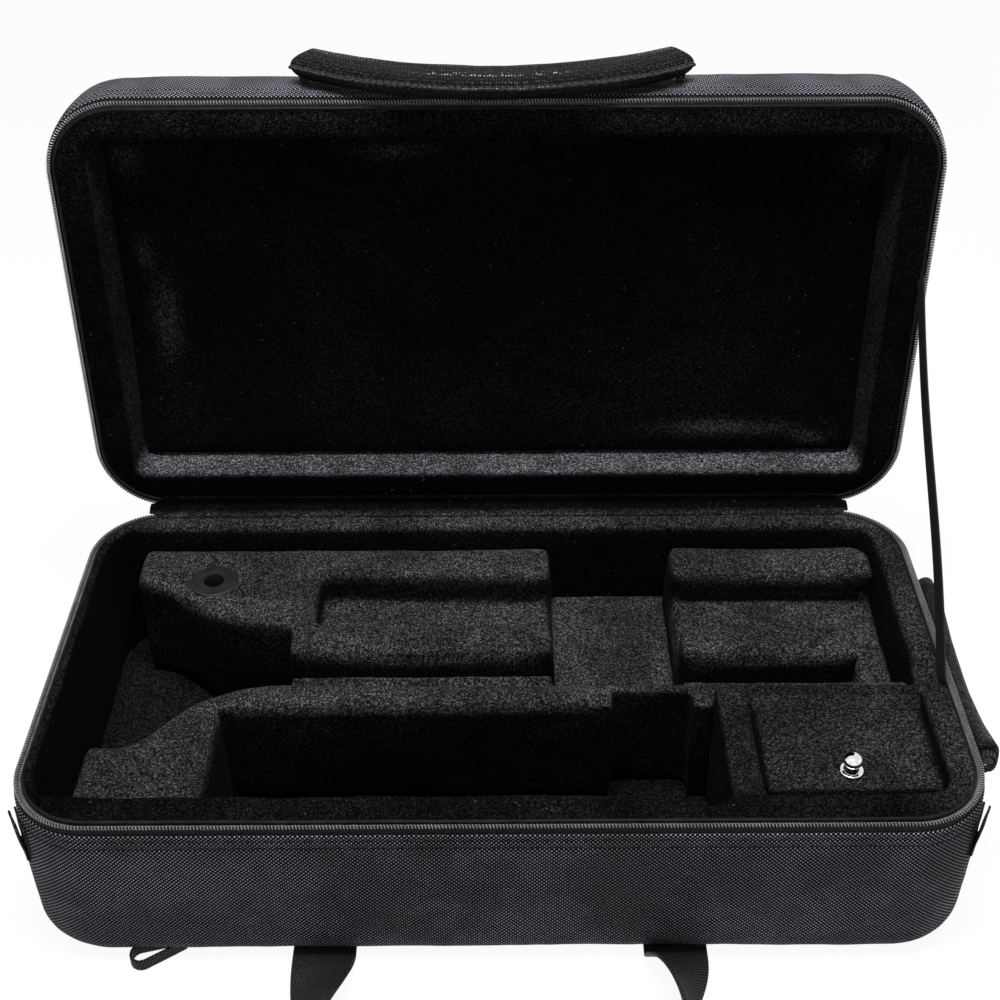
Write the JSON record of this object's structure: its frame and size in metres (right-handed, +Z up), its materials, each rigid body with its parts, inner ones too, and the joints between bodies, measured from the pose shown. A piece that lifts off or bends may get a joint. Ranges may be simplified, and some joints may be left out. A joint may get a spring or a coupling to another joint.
{
  "type": "trumpet case",
  "caption": "Soft-sided rectangular trumpet case, open, with plush-covered foam blocks, an accessory box with a knob, a zip all round and a padded carry handle.",
  "frame": {"origin": "centre of the base's flat underside, where the case stands", "axes": "+X along the case to its end-handle side, +Y from the front to the hinge side, +Z up"},
  "size_m": [0.5421, 0.4495, 0.3998],
  "materials": {
    "nylon": "matte",
    "stiff_board": "matte",
    "foam": "matte",
    "plush": "matte",
    "zip_tape": "matte",
    "zip_coil": "gloss",
    "piping": "satin",
    "grommet_rubber": "matte",
    "knob_chrome": "polished",
    "webbing": "satin",
    "handle_core": "matte",
    "leatherette": "satin",
    "handle_webbing": "matte",
    "black_metal": "satin"
  },
  "bodies": {
    "base": {"base_bottom_skin": "nylon", "base_side_skin": "nylon", "base_board": "stiff_board", "base_foam": "foam", "front_padding": "foam", "back_padding": "foam", "right_padding": "foam", "floor_pad": "plush", "base_rim_lining": "plush", "base_zip_tape": "zip_tape", "base_zip_coil": "zip_coil", "base_piping": "piping", "rear_left_block": "plush", "rear_right_block": "plush", "front_ridge_block": "plush", "trench_floor_block": "plush", "mouthpiece_grommet": "grommet_rubber", "accessory_box": "plush", "accessory_hinge_tape": "plush", "corner_tab_left": "webbing", "corner_tab_right": "webbing", "carry_strap": "webbing", "hang_loop": "webbing", "zip_slider_left": "black_metal", "zip_slider_right": "black_metal", "lid_stay": "webbing", "hinge_gusset": "nylon", "end_handle_anchor_front": "handle_webbing", "end_handle_anchor_back": "handle_webbing"},
    "lid": {"lid_skin": "nylon", "lid_board": "stiff_board", "lid_foam": "foam", "lid_rim_lining": "plush", "lid_panel": "plush", "lid_zip_tape": "zip_tape", "lid_zip_coil": "zip_coil", "lid_piping": "piping", "carry_handle_anchor_left": "handle_webbing", "carry_handle_anchor_right": "handle_webbing"},
    "carry_handle": {"carry_handle_grip": "leatherette", "carry_handle_seam": "leatherette", "carry_handle_core": "handle_core"},
    "end_handle": {"end_handle_grip": "leatherette", "end_handle_seam": "leatherette", "end_handle_core": "handle_core"},
    "accessory_lid": {"accessory_lid": "plush", "knob_flange": "knob_chrome", "accessory_knob": "knob_chrome", "knob_screw": "knob_chrome"},
    "zip_pull_left": {"zip_pull_left": "black_metal"},
    "zip_pull_right": {"zip_pull_right": "black_metal"}
  },
  "joints": [
    {"name": "lid_hinge", "type": "hinge", "parent": "base", "child": "lid", "pos_m": [0, 0.1395, 0.1025], "axis": [1, 0, 0], "range_deg": [0, 92], "deforming": ["hinge_gusset", "lid_stay"]},
    {"name": "carry_handle_swing", "type": "hinge", "parent": "lid", "child": "carry_handle", "pos_m": [-0.002, 0.17884, 0.3895], "axis": [-1, 0, 0], "range_deg": [0, 170]},
    {"name": "end_handle_swing", "type": "hinge", "parent": "base", "child": "end_handle", "pos_m": [0.27, 0.003, 0.086], "axis": [0, -1, 0], "range_deg": [0, 170]},
    {"name": "accessory_lid_hinge", "type": "hinge", "parent": "base", "child": "accessory_lid", "pos_m": [0.1896, -0.0414, 0.1003], "axis": [1, 0, 0], "range_deg": [-105, 0], "deforming": ["accessory_hinge_tape"]},
    {"name": "zip_pull_left_swing", "type": "hinge", "parent": "base", "child": "zip_pull_left", "pos_m": [-0.211, 0.14245, 0.1012], "axis": [1, 0, 0], "range_deg": [0, 85]},
    {"name": "zip_pull_right_swing", "type": "hinge", "parent": "base", "child": "zip_pull_right", "pos_m": [0.211, 0.14245, 0.1012], "axis": [1, 0, 0], "range_deg": [0, 85]}
  ]
}
